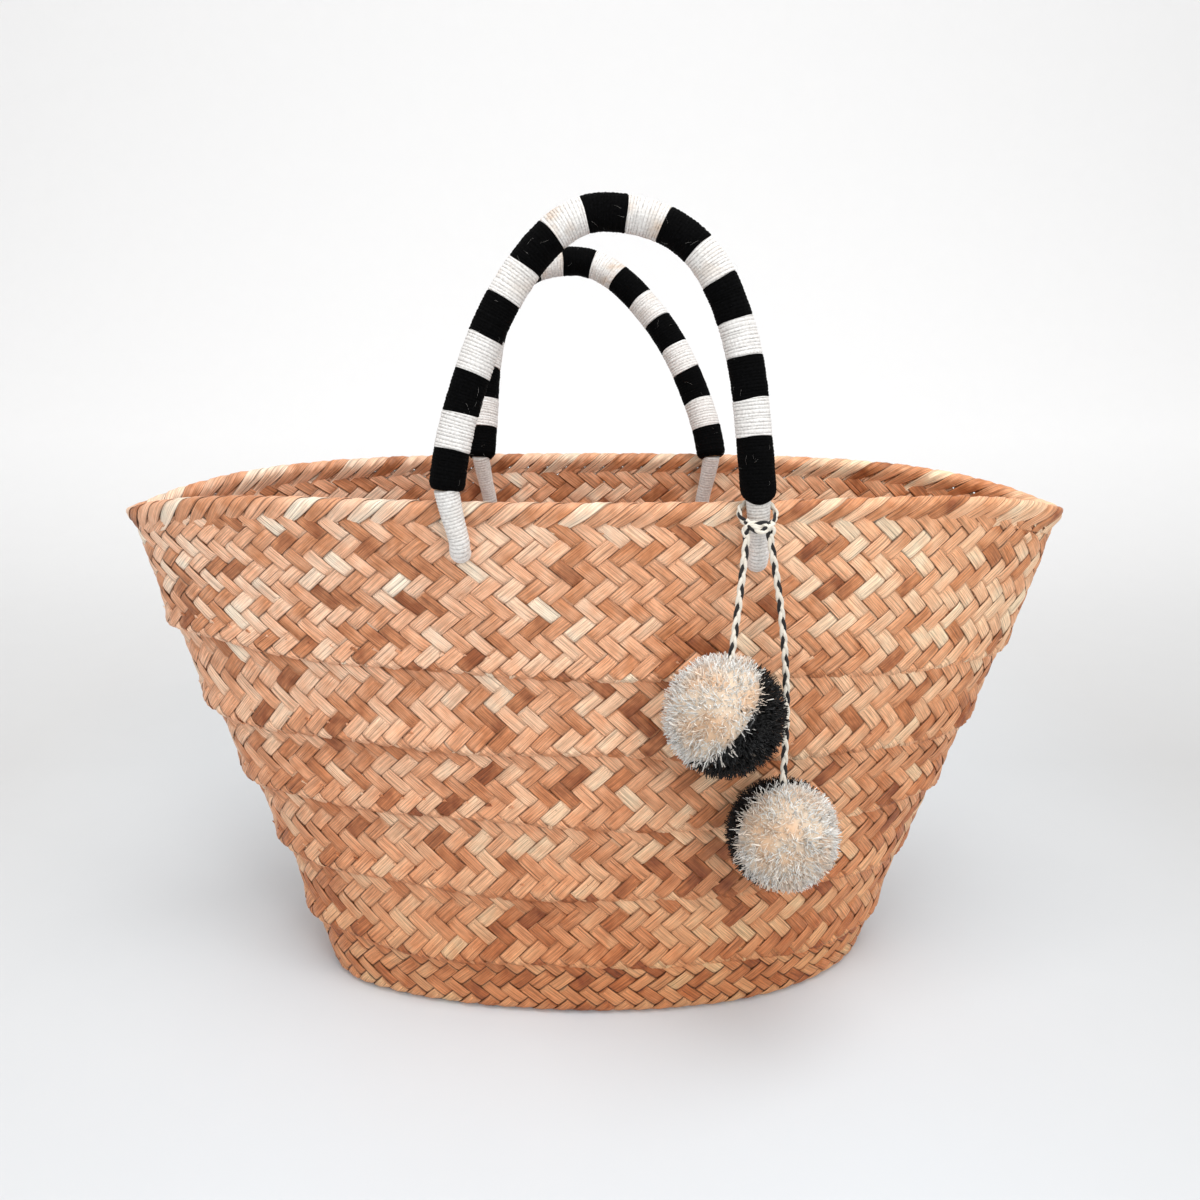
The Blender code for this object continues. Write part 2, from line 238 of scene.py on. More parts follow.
def running(steps):
    """Running total of the steps, from 0."""
    return np.concatenate(([0], np.cumsum(steps)))


def directions(points, axis=0):
    return unit(np.gradient(points, axis=axis))


# ---- the basket's surface


def mix(low, high, share):
    return low + (high - low) * share


def half_length(share):
    """Half length of the basket; its ends are fullest below the mouth."""
    fullness = MOUTH_BULGE * np.clip(share, 0, 1) ** 3 * (1 - np.clip(share, 0, 1))
    return mix(BASE_HALF_LENGTH, MOUTH_HALF_LENGTH, share) + fullness


def plan(share, angle):
    """The wall's middle surface seen from above, at a share of the basket's height."""
    rise = np.sin(angle)
    power = mix(BASE_POINTEDNESS + BASE_SKEW * np.cos(angle), MOUTH_POINTEDNESS, share)
    x = BASE_SHIFT * (1 - share) + half_length(share) * np.cos(angle)
    y = mix(BASE_HALF_DEPTH, MOUTH_HALF_DEPTH, share) * np.sign(rise) * np.abs(rise) ** power
    return x, y


def outward(share, angle):
    step = 0.02
    x1, y1 = plan(share, angle + step)
    x0, y0 = plan(share, angle - step)
    length = np.hypot(x1 - x0, y1 - y0)
    return (y1 - y0) / length, (x0 - x1) / length


def droop(angle):
    """How far the mouth hangs below its middle, which is most at its two pointed ends."""
    return END_DROOP * np.abs(np.cos(angle)) ** DROOP_POWER


SHARES = 21
TURNS = 720


def angle_table():
    """Plan angle by share of height and by turn, where a turn of 0 is the middle of the front."""
    fine = np.linspace(-math.pi / 2, 1.5 * math.pi, 4 * TURNS + 1)
    rows = []
    for share in np.linspace(0, 1, SHARES):
        x, y = plan(share, fine)
        travelled = running(np.hypot(np.diff(x), np.diff(y)))
        rows.append(np.interp(np.linspace(0, travelled[-1], TURNS + 1), travelled, fine))
    return np.array(rows)


ANGLES = angle_table()


def angle_at(turn, share):
    row = np.clip(share, 0, 1) * (SHARES - 1)
    low = np.minimum(row.astype(int), SHARES - 2)
    column = (turn % 1.0) * TURNS
    left = np.minimum(column.astype(int), TURNS - 1)
    lower, upper = (mix(ANGLES[k, left], ANGLES[k, left + 1], column - left) for k in (low, low + 1))
    return mix(lower, upper, row - low)


BOTTOM_MIDDLE = 1.45 * MM
BOTTOM_ROUND = 5 * MM
BOTTOM_END = BOTTOM_MIDDLE + BOTTOM_ROUND * (1 - math.pi / 2)


def dent(angle, level):
    """Slow waves of the hand-made wall."""
    waves = 0
    for depth, round_it, up_it, start in ((0.8, 3, 21, 0.4), (0.6, 5, -34, 2.1), (0.45, 8, 47, 4.0)):
        waves = waves + depth * np.sin(round_it * angle + up_it * level + start)
    return waves * MM * smoothstep(level / (60 * MM)) * smoothstep((RIM_TOP - level) / (60 * MM))


def wall_point(turn, level, offset):
    """A point of the wall: a share of the way round, a distance up it and a distance off its middle.

    Below the bottom rounding the level runs on under the basket.
    """
    turn, level, offset = np.broadcast_arrays(turn, level, offset)
    bend = np.clip((BOTTOM_MIDDLE + BOTTOM_ROUND - level) / BOTTOM_ROUND, 0, math.pi / 2)
    inward = BOTTOM_ROUND * (1 - np.cos(bend))
    inward = inward + np.maximum(BOTTOM_END - level, 0)
    z = np.where(bend > 0, BOTTOM_MIDDLE + BOTTOM_ROUND * (1 - np.sin(bend)), level)
    height = z
    for _ in range(3):
        angle = angle_at(turn, height / RIM_TOP)
        height = z + droop(angle) * np.clip(height / WALL_TOP, 0, 1.1) ** 2
    share = height / RIM_TOP
    x, y = plan(share, angle)
    out_x, out_y = outward(share, angle)
    step = 0.02
    above_x, above_y = plan(share + step, angle)
    lean = ((above_x - x) * out_x + (above_y - y) * out_y) / (step * RIM_TOP)
    slope = np.sqrt(1 + lean**2)
    off = offset + dent(angle, level)
    sideways = off * np.cos(bend) / slope - inward
    drop = off * (np.sin(bend) + lean / slope * np.cos(bend))
    return np.stack((x + out_x * sideways, y + out_y * sideways, z - drop), axis=-1)


# ---- straw weave


STRAND_HALF_THICKNESS = 0.42 * MM
STRAND_LIFT = 0.84 * MM
STRAND_WIDTH = 0.985
SAMPLES_PER_ROW = 8
RIBBON_ACROSS = np.array((-0.5, -0.42, 0.0, 0.42, 0.5, 0.42, -0.42))
RIBBON_THICK = np.array((-0.1, 0.8, 1.7, 0.8, -0.1, -1.0, -1.0))


def strand_wave(row):
    """1 where the strands that climb anticlockwise lie outside, -1 where the other set does."""
    steep = 3.2
    return np.tanh(steep * np.cos(math.pi * (row - 0.5))) / math.tanh(steep)


def by_float(spread, rows):
    """A random value for each float of each strand, looked up by row."""
    first = int(np.floor(rows.min()))
    values = draw(-1, 1, (len(rows), int(np.ceil(rows.max())) - first + 3, 1)) * spread
    return np.take_along_axis(values, np.floor(rows).astype(int) - first, axis=1)


def weave(skin, place, strands_of, row_length):
    """Two crossing sets of flat strands in a two-over, two-under twill whose floats form level rows.

    place(step, row, height) gives points. For a set, strands_of gives its strands' numbers and the
    rows that they run between.
    """
    for climb in (1, -1):
        strands, low, high = (values[:, None, None] for values in strands_of(climb))
        count = len(strands)
        samples = int(math.ceil((high.max() - low.min()) * SAMPLES_PER_ROW)) + 1
        row = mix(low, high, np.linspace(0, 1, samples)[:, None])
        step = strands + 0.5 - 0.75 * climb + climb * row
        wave = climb * strand_wave(row)
        firmness = np.abs(wave)
        strand_tone = draw(0, 1, (count, 1, 1))
        tone = 0.4 * strand_tone + 0.6 * (0.5 + by_float(0.5, row))
        width = STRAND_WIDTH * (1 + by_float(0.035, row) * firmness)
        tilt = by_float(0.75 * MM, row) * firmness
        lift = STRAND_LIFT * wave + by_float(0.2 * MM, row) * firmness
        shift = by_float(0.03, row) * firmness
        across = RIBBON_ACROSS * width + shift
        height = lift + RIBBON_THICK * STRAND_HALF_THICKNESS + tilt * RIBBON_ACROSS
        points = place(step + across / 2, row - climb * across / 2, height)
        along = row * row_length * 1.45 + draw(0, 40, (count, 1, 1))
        # The firmness also goes in as the exposure, which sets the straw's painted shade where the strands
        # dive.
        skin.add(points, tone, along, RIBBON_ACROSS, firmness)


# Rows and strands of each tier, and the height of the ridge under it at the basket's middle
TOP_ROW_LEVEL = RIM_TOP - 10.8 * MM
TIERS = (
    (8, 94, 204.5 * MM),
    (4, 88, 160.0 * MM),
    (4, 84, 119.5 * MM),
    (4, 80, 77.0 * MM),
    (4, 76, 34.0 * MM),
    (4, 74, BOTTOM_END),
)
LAST_TIER = len(TIERS) - 1
RIDGE_TILT = 0.032
# Most that a tier's strand ends turn in under their ridge, and how deep the next tier's tops sit
TURN_IN = 3.2 * MM
TUCK_DEPTH = 0.9 * MM


def ridge_level(tier, turn):
    """Height of the ridge under a tier. The ridges climb a little towards the basket's left end."""
    if tier < 0:
        return np.full_like(turn, TOP_ROW_LEVEL)
    level = TIERS[tier][2]
    if tier == LAST_TIER:
        return np.full_like(turn, level)
    angle = angle_at(turn, level / RIM_TOP)
    x, _ = plan(level / RIM_TOP, angle)
    wobble = 1.3 * MM * np.sin(4 * angle + 1.7 * tier) + 0.8 * MM * np.sin(9 * angle + 2.9 * tier)
    return level - RIDGE_TILT * x + wobble


def ridge_swell(tier, turn):
    """How far a tier's lower edge stands out over the next one."""
    if tier == LAST_TIER:
        return 0 * turn
    angle = angle_at(turn, 0.5)
    left = smoothstep(0.5 - 0.9 * np.cos(angle))
    ends = np.abs(np.cos(angle)) ** 5
    patches = 0.5 + 0.5 * np.sin(7 * angle + 2.3 * tier)
    return (1.1 + 2.3 * left + 1.4 * ends + 0.9 * patches) * MM


def tier_place(tier):
    rows, count, _ = TIERS[tier]
    start = 0.37 * tier

    def place(step, row, height):
        turn = (step + start) / count
        low = ridge_level(tier, turn)
        high = ridge_level(tier - 1, turn)
        level = low + (high - low) * row / rows
        swell = ridge_swell(tier, turn) * np.exp(-np.maximum(row, 0) / 1.1)
        tuck = 0
        if tier < LAST_TIER:
            inward = np.minimum(TURN_IN, ridge_swell(tier, turn) + 0.5 * MM)
            tuck = tuck + inward * (np.clip(-row, 0, 1) / 0.4) ** 2
        if tier > 0:
            tuck = tuck + TUCK_DEPTH * np.exp(-np.maximum(rows - row, 0) / 0.8)
            tuck = tuck - (TUCK_DEPTH + ridge_swell(tier - 1, turn)) * np.clip(row - rows, 0, 1)
        return wall_point(turn, level, swell - tuck + height)

    return place


def make_wall(straw):
    """One piece for each tier. The highest tier's strands stop at the drooping rim."""
    for tier, (rows, count, _) in enumerate(TIERS):
        row_length = (ridge_level(tier - 1, np.zeros(1)) - ridge_level(tier, np.zeros(1)))[0] / rows

        def strands_of(climb):
            strands = np.arange(count)
            high = np.full(count, rows + 0.5)
            if tier == 0:
                spare = -0.05 if climb > 0 else 0.3
                turn = (strands + 0.5 + climb * (rows - 0.75)) / count
                high = rows + spare - droop(angle_at(turn, 0.95)) / row_length
            return strands, np.full(count, -1.0 if tier == LAST_TIER else -0.4), high

        skin = Skin()
        weave(skin, tier_place(tier), strands_of, row_length)
        if tier < LAST_TIER:
            add_tucked_ends(skin, tier, count)
        nodes = ("basket_wall",) if tier == 0 else ()
        skin.make(f"wall_tier_{tier + 1}", straw, "plaited_straw", "basket", nodes, crisp=True)


def add_tucked_ends(skin, tier, count):
    """Short crumpled ends of strands that stick out under a ridge."""
    number = int(count * 0.9)
    each = (number, 1, 1)
    turn = (RANDOM.permutation(count)[:number, None, None] + draw(0, 1, each)) / count
    reach = draw(1.5, 4.0, each) * MM
    lean = draw(-1, 1, each) * 0.4 / count
    width = draw(0.22, 0.5, each) / count
    share = np.linspace(0, 1, 5)[:, None]
    across = RIBBON_ACROSS * width * (1 - 0.6 * share**2)
    spot = turn + lean * share + across
    swell = ridge_swell(tier, spot)
    level = ridge_level(tier, spot) + 1.5 * MM - (1.5 * MM + reach) * share
    offset = swell * 0.4 + (0.2 * MM + swell * 0.5) * np.sin(share * 2.6) + RIBBON_THICK * 0.25 * MM
    skin.add(wall_point(spot, level, offset), draw(0.55, 1.0, each), share * 4 * MM, RIBBON_ACROSS, 0.8)


BASE_LEVEL = 3.3 * MM
BASE_INSET = 7.5 * MM
LEAST_SAMPLES = 60  # shorter strands are left out of the mat


def make_base(straw):
    """The flat plaited mat, cut to the oval inside the wall's turned-in ends."""
    pitch = 10.6 * MM
    row_length = 9.6 * MM
    mat_length = BASE_HALF_LENGTH - BASE_INSET
    mat_depth = BASE_HALF_DEPTH - BASE_INSET
    half_count = int(mat_length / pitch + mat_depth / row_length)

    def strands_of(climb):
        """The strands that cross the mat's outline, and the rows between which each lies inside it."""
        strands = np.arange(-half_count, half_count)
        row = np.linspace(-half_count, half_count, 4001)
        x = (strands[:, None] + 0.5 - 0.75 * climb + climb * row) * pitch / mat_length
        power = (BASE_POINTEDNESS + BASE_SKEW * x) / 2
        inside = np.abs(row * row_length / mat_depth) < np.clip(1 - x**2, 0, 1) ** power
        kept = inside.sum(axis=1) > LEAST_SAMPLES
        first = np.argmax(inside, axis=1)
        last = len(row) - 1 - np.argmax(inside[:, ::-1], axis=1)
        return strands[kept], row[first[kept]], row[last[kept]]

    def place(step, row, height):
        x = step * pitch + BASE_SHIFT
        y = row * row_length
        return np.stack(np.broadcast_arrays(x, y, BASE_LEVEL + 0.8 * height), axis=-1)

    skin = Skin()
    weave(skin, place, strands_of, row_length)
    skin.make("base_mat", straw, "plaited_straw", "basket", ("basket_base",), crisp=True)


# Middle of the rim strips' thickness outside, in mm: how far out and how far from the rim's top
RIM_OUTSIDE = (
    (0.1, -15.5), (0.2, -12.4), (1.0, -10.4), (2.0, -8.0),
    (2.8, -5.4), (2.9, -2.9), (2.1, -1.1), (1.0, -0.45),
)


def make_rim(straw):
    """The climbing strands run on from the top row, fold over the edge and slip back inside."""
    inside = [(-out, down) for out, down in RIM_OUTSIDE[::-1]]
    profile, length = smooth_path(np.array((*RIM_OUTSIDE, (0, -0.25), *inside)) * MM, 160)
    rows, count, _ = TIERS[0]
    row_length = (TOP_ROW_LEVEL - TIERS[0][2]) / rows
    share = np.linspace(0, 1, 46)[:, None]
    each = (count, 1, 1)
    strip = np.arange(count).reshape(each)
    tilt = draw(0.45, 0.85, each) * MM
    across = RIBBON_ACROSS * draw(1.06, 1.18, each)
    path = share * length
    start = profile[0, 1] - (TOP_ROW_LEVEL - RIM_TOP)
    row = rows + (path + start) / row_length
    step = strip + 0.5 - 0.75 + row + across / 2
    folded = np.clip((path - across / 2 * row_length * np.sin(math.pi * share)) / length, 0, 1)
    place, low = between(profile, folded * (len(profile) - 1))
    out, down = place[..., 0], place[..., 1]
    slope = directions(profile)[low]
    firmness = np.sin(math.pi * np.clip(share, 0.02, 0.98)) ** 0.35
    thick = RIBBON_THICK * STRAND_HALF_THICKNESS + tilt * RIBBON_ACROSS * firmness
    thick = thick + 0.12 * MM * np.sin(9 * share + strip * 2.4)
    out = out + thick * slope[..., 1]
    down = down - thick * slope[..., 0]
    share_up = (RIM_TOP + down) / RIM_TOP + 0.0154 * smoothstep((down + 11 * MM) / (6.5 * MM))
    angle = angle_at(step / count, share_up)
    x, y = plan(share_up, angle)
    out_x, out_y = outward(share_up, angle)
    points = np.stack((x + out_x * out, y + out_y * out, RIM_TOP - droop(angle) + down), axis=-1)
    skin = Skin()
    # The firmness also goes in as the exposure, which sets painted shade towards the strips' ends.
    skin.add(points, draw(0.15, 0.95, each), path + strip, RIBBON_ACROSS, firmness)
    skin.make("rim_strips", straw, "plaited_straw", "basket", ("rim_braid",), crisp=True)


# ---- wound yarn


HANDLE_RADIUS = 8.8 * MM
CORE_RADIUS = 6.5 * MM
HANDLE_HALF_SPAN = 75.3 * MM
HANDLE_RISE = 135.1 * MM
HANDLE_START = 4.8 * MM
FRONT_LEAN = math.radians(-10)
BACK_LEAN = math.radians(18.5)
BACK_SIZE = 0.945
BACK_SWAY = 13 * MM
BANDS = 17
WHITE_SHARE = 1.0
BLACK_SHARE = 1.1
FRONT_LAST_SHARE = 1.45
YARN_TURN = 1.62 * MM


def handle_line(size, sway):
    """The handle's centre line, upright in XZ, with its hinge axis at z = 0 and its apex swayed."""
    knots = [Vector((x, 0, z)) for x, z in (
        (-HANDLE_HALF_SPAN, HANDLE_START),
        (-0.92 * HANDLE_HALF_SPAN, HANDLE_START + 53.3 * MM),
        (-38.1 * MM, HANDLE_RISE),
        (0.8 * MM, HANDLE_RISE),
        (63.3 * MM, HANDLE_RISE),
        (0.93 * HANDLE_HALF_SPAN, HANDLE_START + 67.7 * MM),
        (HANDLE_HALF_SPAN, HANDLE_START),
    )]
    rising = interpolate_bezier(*knots[:4], 120)
    falling = interpolate_bezier(*knots[3:], 120)
    line = np.array([tuple(point) for point in rising + falling[1:]])
    line = size * line + sway * (line[:, 2:] / HANDLE_RISE) ** 2 * np.array((1.0, 0.0, 0.0))
    return even_path(line, 1200)


def band_edges(total, last_share):
    shares = [BLACK_SHARE if k % 2 == 0 else WHITE_SHARE for k in range(BANDS)]
    shares[-1] = last_share
    return running(shares) * total / sum(shares)


def yarn_bulge(phase):
    """Height of a round yarn's surface across one turn, from 0 in the groove to 1 on the crown."""
    across = 2 * (phase % 1.0) - 1
    return np.sqrt(np.maximum(1 - across**2, 0.0))


def yarn_run(phase, around, radius):
    """Distance along the yarn itself, which goes once round for each turn."""
    return (np.floor(phase) + around / FULL_TURN) * FULL_TURN * radius


def slow_noise(size, length, strength):
    """Smooth random values along a run, one for each of its points."""
    knots = draw(-1, 1, max(int(length) + 3, 4)) * strength
    return np.interp(np.linspace(0, len(knots) - 1.01, size), np.arange(len(knots)), knots)


def make_handle(name, spin, lean, size, sway, last_share, yarns, stray):
    """Bands of yarn wound round the rope core, a piece for each colour, and the stray fibres on them."""
    hinge = PIVOTS[name + "_fold"]
    line, total = handle_line(size, sway)
    tangents = directions(line)
    edges = band_edges(total, last_share)
    turn_z = np.array(((math.cos(spin), -math.sin(spin), 0), (math.sin(spin), math.cos(spin), 0), (0, 0, 1)))
    place = turn_z @ turn_about_x(lean)
    around = circle(44)
    ragged = [edge_noise(around, 0.0 if k in (0, BANDS) else 0.55 * MM) for k in range(BANDS + 1)]
    if last_share > BLACK_SHARE:
        ragged[BANDS] = 3.3 * MM * (1 - np.sin(around))

    def ring_points(distance, radius):
        """Points round the line; distance and radius have the shape (rings, sides)."""
        spot = np.clip(distance / total, 0, 1) * (len(line) - 1)
        centre, low = between(line, spot)
        along = tangents[low]
        centre = centre + along * (distance - np.clip(distance, 0, total))[..., None]
        normal = np.stack((-along[..., 2], np.zeros_like(spot), along[..., 0]), axis=-1)
        side = np.array((0.0, 1.0, 0.0))
        spoke = np.cos(around)[:, None] * normal + np.sin(around)[:, None] * side
        return (centre + radius[..., None] * spoke) @ place.T + np.array(hinge)

    skins = {"black": Skin(), "white": Skin()}
    for k in range(BANDS):
        colour = "black" if k % 2 == 0 else "white"
        first, last = edges[k], edges[k + 1]
        turns = (last - first) / YARN_TURN
        rings = int(turns * 7)
        share = np.linspace(0, 1, rings)[:, None]
        begin = first + ragged[k]
        finish = last + ragged[k + 1]
        distance = begin + (finish - begin) * share
        uneven = slow_noise(rings, turns / 2, 0.35)[:, None]
        phase = distance / YARN_TURN - around / FULL_TURN + uneven
        depth = 0.34 * MM if colour == "black" else 0.46 * MM
        radius = HANDLE_RADIUS - depth * (1 - yarn_bulge(phase))
        radius = radius + slow_noise(rings, turns, 0.13 * MM)[:, None]
        radius = radius + 0.2 * MM * np.sin(3 * around + 0.05 * distance / MM + k)
        for end, free in ((begin, k == 0), (finish, k == BANDS - 1)):
            rounding, fall = (4.0 * MM, 3.6 * MM) if free else (0.5 * MM, 0.35 * MM)
            near = np.clip(1 - np.abs(distance - end) / rounding, 0, 1)
            radius = radius - fall * (1 - np.sqrt(1 - near**2))
        inner = mix(first, last, np.linspace(1, 0, 5)[:, None]) + 0 * around
        inner_radius = min(CORE_RADIUS + GAP, radius[0].min()) + 0 * inner
        # The bulge also sets the painted shade in the grooves between turns.
        yarn = yarn_run(phase, around, HANDLE_RADIUS), yarn_bulge(phase), band_stain(k, share + 0 * around)
        shown = ring_points(distance, radius), *yarn
        hidden = ring_points(inner, inner_radius), *[0 * inner] * 3
        points, *fibre = (np.concatenate(pair)[None] for pair in zip(shown, hidden))
        skins[colour].add(points, 0.5, *fibre, looped=True)
    for colour, material in yarns.items():
        first = 1 if colour == "black" else 2
        nodes = [f"{name}_{colour}_band_{number:02d}" for number in range(first, BANDS + 1, 2)]
        skins[colour].make(f"{name}_{colour}_yarn", material, colour + "_yarn", name, nodes)
    add_stray_fibres(name, ring_points, total, around, stray)


def edge_noise(around, strength):
    phases = draw(0, FULL_TURN, 3)
    weights = (0.55, 0.3, 0.25)
    waves = [w * np.sin((k + 1) * around + p) for k, (w, p) in enumerate(zip(weights, phases))]
    return strength * sum(waves)


def band_stain(index, share):
    """1 is clean; the white bands near the handle's top are a little brown from hands."""
    nearness = 1 - abs(index - (BANDS - 1) / 2) / 4
    return 1 - 0.5 * max(nearness, 0) * (0.5 + 0.5 * np.sin(5 * share + index))


def add_stray_fibres(name, ring_points, total, around, material):
    """Fine loose hairs that stand off the wound yarn."""
    count = 150
    distance = draw(0, total, count)
    side = RANDOM.integers(0, len(around), count)
    length = draw(1.5, 5.0, (count, 1, 1)) * MM
    distance = distance[:, None] + 0 * around
    base = ring_points(distance, np.full(distance.shape, HANDLE_RADIUS))
    centre = base.mean(axis=1)
    root = base[np.arange(count), side]
    away = unit(root - centre)
    drift = unit(np.cross(away, RANDOM.normal(0, 1, (count, 3))))
    share = np.linspace(0, 1, 6)[:, None]
    lift = away[:, None] * (0.35 * length * np.sin(share * 2.4) - 0.25 * MM)
    path = root[:, None] + lift + drift[:, None] * length * share
    along = directions(path, 1)
    side = unit(np.cross(along, np.where(np.abs(along[..., 2:]) < 0.8, (0, 0, 1.0), (1.0, 0, 0))))
    thin = 0.026 * MM * (1 - 0.6 * share)[..., None]
    rings = path[:, :, None] + spokes(circle(3), side, np.cross(along, side)) * thin
    skin = Skin()
    skin.add(rings, draw(0, 1, (count, 1, 1)), share * 5 * MM, 0.0)
    skin.make(name + "_stray_fibres", material, "white_yarn", name)


# ---- rope feet


FOOT_RADIUS = 5.6 * MM
FOOT_TAIL_RISE = 11.3 * MM
FOOT_REACH = WALL_THICKNESS / 2 + 0.5 * MM + 5.5 * MM


def wound_tube(skin, knots, radius_at, turn):
    """A rope wound with yarn along a smooth path. radius_at takes a share of the length."""
    line, length = smooth_path(knots, 230)
    along = directions(line)
    side = np.zeros_like(line)
    side[0] = unit(np.cross(along[0], np.array((1.0, 0.2, 0.1))))
    for k in range(1, len(line)):
        side[k] = unit(side[k - 1] - along[k] * (side[k - 1] @ along[k]))
    up = np.cross(along, side)
    around = circle(28)
    share = np.linspace(0, 1, len(line))[:, None]
    uneven = slow_noise(len(line), length / turn / 2, 0.3)[:, None]
    phase = share * length / turn - around / FULL_TURN + uneven
    radius = radius_at(share) - 0.42 * MM * (1 - yarn_bulge(phase))
    points = line[:, None] + spokes(around, side, up) * np.maximum(radius, 0.3 * MM)[..., None]
    # The bulge also sets the painted shade in the grooves between turns.
    skin.add(points[None], 0.5, yarn_run(phase, around, FOOT_RADIUS)[None], yarn_bulge(phase)[None], 0.95)


def make_foot(name, handle, hinge, top_x, low_x, hole_z, thickness, material):
    """From inside the handle's end, down beside the wall, through it and a little way up again."""
    share = hole_z / RIM_TOP
    across = (low_x - BASE_SHIFT * (1 - share)) / half_length(share)
    wall_y = math.copysign(plan(share, np.arccos(across))[1], hinge.y)
    main = math.copysign(1, abs(hinge.y) - abs(wall_y)) * math.copysign(1, hinge.y)
    leg_y = wall_y + main * FOOT_REACH
    tail_y = wall_y - main * (FOOT_REACH + 0.7 * MM)
    turn = hole_z + FOOT_REACH
    bow = main * 0.4 * MM
    knots = (
        (top_x, hinge.y, hinge.z + 6.0 * MM),
        (mix(top_x, low_x, 0.45), mix(hinge.y, leg_y, 0.5) + bow, mix(hinge.z + 6 * MM, turn, 0.5)),
        (low_x, leg_y + bow, turn),
        (low_x, (leg_y + wall_y) / 2 + main * 1.6 * MM, hole_z + 1.3 * MM),
        (low_x, wall_y, hole_z - 0.4 * MM),
        (low_x, (tail_y + wall_y) / 2 - main * 1.6 * MM, hole_z + 1.3 * MM),
        (low_x, tail_y, turn),
        (low_x, tail_y - main * 0.6 * MM, hole_z + FOOT_TAIL_RISE),
    )

    def radius_at(share):
        tail = np.sqrt(1 - np.clip((share - 0.93) / 0.075, 0, 0.99) ** 2)
        return thickness * tail * mix(1.09, 0.93, smoothstep(share / 0.45))

    skin = Skin()
    wound_tube(skin, knots, radius_at, 1.7 * MM)
    piece = skin.make(name + "_wound_rope", material, "white_yarn", nodes=(name,))
    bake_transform(piece)


def make_feet(material):
    """Each foot slants from its handle's end to its hole. The slant and the hole's height are in mm."""
    for end, side, size, thickness, slant, hole_z in (
        ("front", "left", -1.0, 1.0, 5, 268),
        ("front", "right", 1.0, 1.0, 2, 263),
        ("back", "left", -BACK_SIZE, 0.84, 4, 259),
        ("back", "right", BACK_SIZE, 0.84, -4, 259),
    ):
        handle = end + "_handle"
        hinge = Vector(PIVOTS[handle + "_fold"])
        top_x = hinge.x + size * HANDLE_HALF_SPAN
        place = hinge, top_x, top_x + slant * MM, hole_z * MM
        make_foot(f"{end}_{side}_foot", handle, *place, thickness * FOOT_RADIUS, material)


# ---- charm


CORD_PITCH = 19.0 * MM
PLY_RADIUS = 0.98 * MM


def braid(skin, line, facing, length, closed=False):
    """Three plies over one another along a line, one of them black. facing: the braid's flat side."""
    along = directions(line)
    side = unit(np.cross(along, facing))
    face = np.cross(side, along)
    share = np.linspace(0, 1, len(line))[:, None]
    turns = max(round(length / CORD_PITCH), 1) if closed else length / CORD_PITCH
    corners = circle(7)
    for ply in range(3):
        phase = FULL_TURN * (share * turns + ply / 3)
        centre = line + side * 0.90 * MM * np.sin(phase) + face * 0.5 * MM * np.sin(2 * phase)
        run = directions(centre)
        first = unit(np.cross(run, face))
        second = np.cross(run, first)
        points = centre[:, None] + spokes(corners, first, second * 0.8) * PLY_RADIUS
        tone = 0.0 if ply == 0 else 0.7 + 0.2 * ply / 2
        skin.add(points[None], tone, (share * length)[None], np.sin(corners) / 2)


def make_charm(cord, natural, black):
    """Hitch, knot, and both cords with their pompoms. Each cord has points that it passes, in mm."""
    make_hitch(cord)
    make_knot(cord)
    for name, side, via, facing in (
        ("short", -1, [(69.5, -103.5, 251.7)], (-0.79, -0.10, 0.61)),
        ("long", 1, [(90.8, -98.5, 242.6), (95.2, -100.5, 198.5)], (0.35, -0.92, 0.14)),
    ):
        top = np.array(PIVOTS[name + "_cord_sway"])
        pompom = name + "_pompom"
        centre, size = box_of(pompom + "_natural_half", pompom + "_black_half")
        centre, radius = np.array(centre), size.z / 2
        end = centre + (-side * MM, 0, 0.55 * radius)
        knots = [top + (0, 0, 0.5 * MM), top - (0, 0, 4.2 * MM), *(np.array(via) * MM), end]
        line, length = smooth_path(knots, 240)
        skin = Skin()
        braid(skin, line, (0.0, -1.0, 0.0), length)
        skin.make(name + "_braided_cord", cord, "braided_cord", name + "_strand", (name + "_cord",))
        make_pompom(pompom, centre, radius, unit(np.array(facing)), natural, black)


def make_hitch(cord):
    """The cord's loop round the right front foot."""
    centre, _ = box_of("charm_hitch_loop")
    radius = 8.9 * MM
    tilt = math.radians(33)
    angle = np.linspace(0, FULL_TURN, 141)
    flat = np.stack((np.cos(angle), np.sin(angle), 0 * angle), axis=1)
    facing = flat @ turn_about_x(tilt).T
    line = np.array(centre) + radius * facing
    skin = Skin()
    braid(skin, line, facing, FULL_TURN * radius, closed=True)
    skin.make("charm_hitch", cord, "braided_cord", "basket", ("charm_hitch_loop",))


def make_knot(cord):
    """The bight in front of the hitch that both cords leave."""
    centre, _ = box_of("charm_knot")
    bight = (
        (-5.5, 0.3, -4.5), (-6.4, -0.4, -1.2), (-3.85, -1.2, 1.2), (0, -1.5, 1.7),
        (3.85, -1.2, 1.2), (6.4, -0.4, -1.2), (5.5, 0.3, -4.5),
    )
    cross = ((-6.5, 0.6, 2.6), (-3.0, -1.8, 0.2), (0, -2.4, -1.4), (3.2, -1.9, -0.4), (6.6, 0.6, 2.2))
    skin = Skin()
    for knots, count, rise in ((bight, 130, 0.35), (cross, 90, 0.3)):
        line, length = smooth_path(np.array(centre) + np.array(knots) * MM, count)
        braid(skin, line, (0.0, -1.0, rise), length)
    skin.make("charm_bight", cord, "braided_cord", "charm", ("charm_knot",))


# Blades in half a pompom, and where they start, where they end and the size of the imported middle, as
# shares of the pompom's radius
BLADES = 3600
BLADE_START = 0.72
BLADE_REACH = 1.09
HEART_SIZE = 0.945


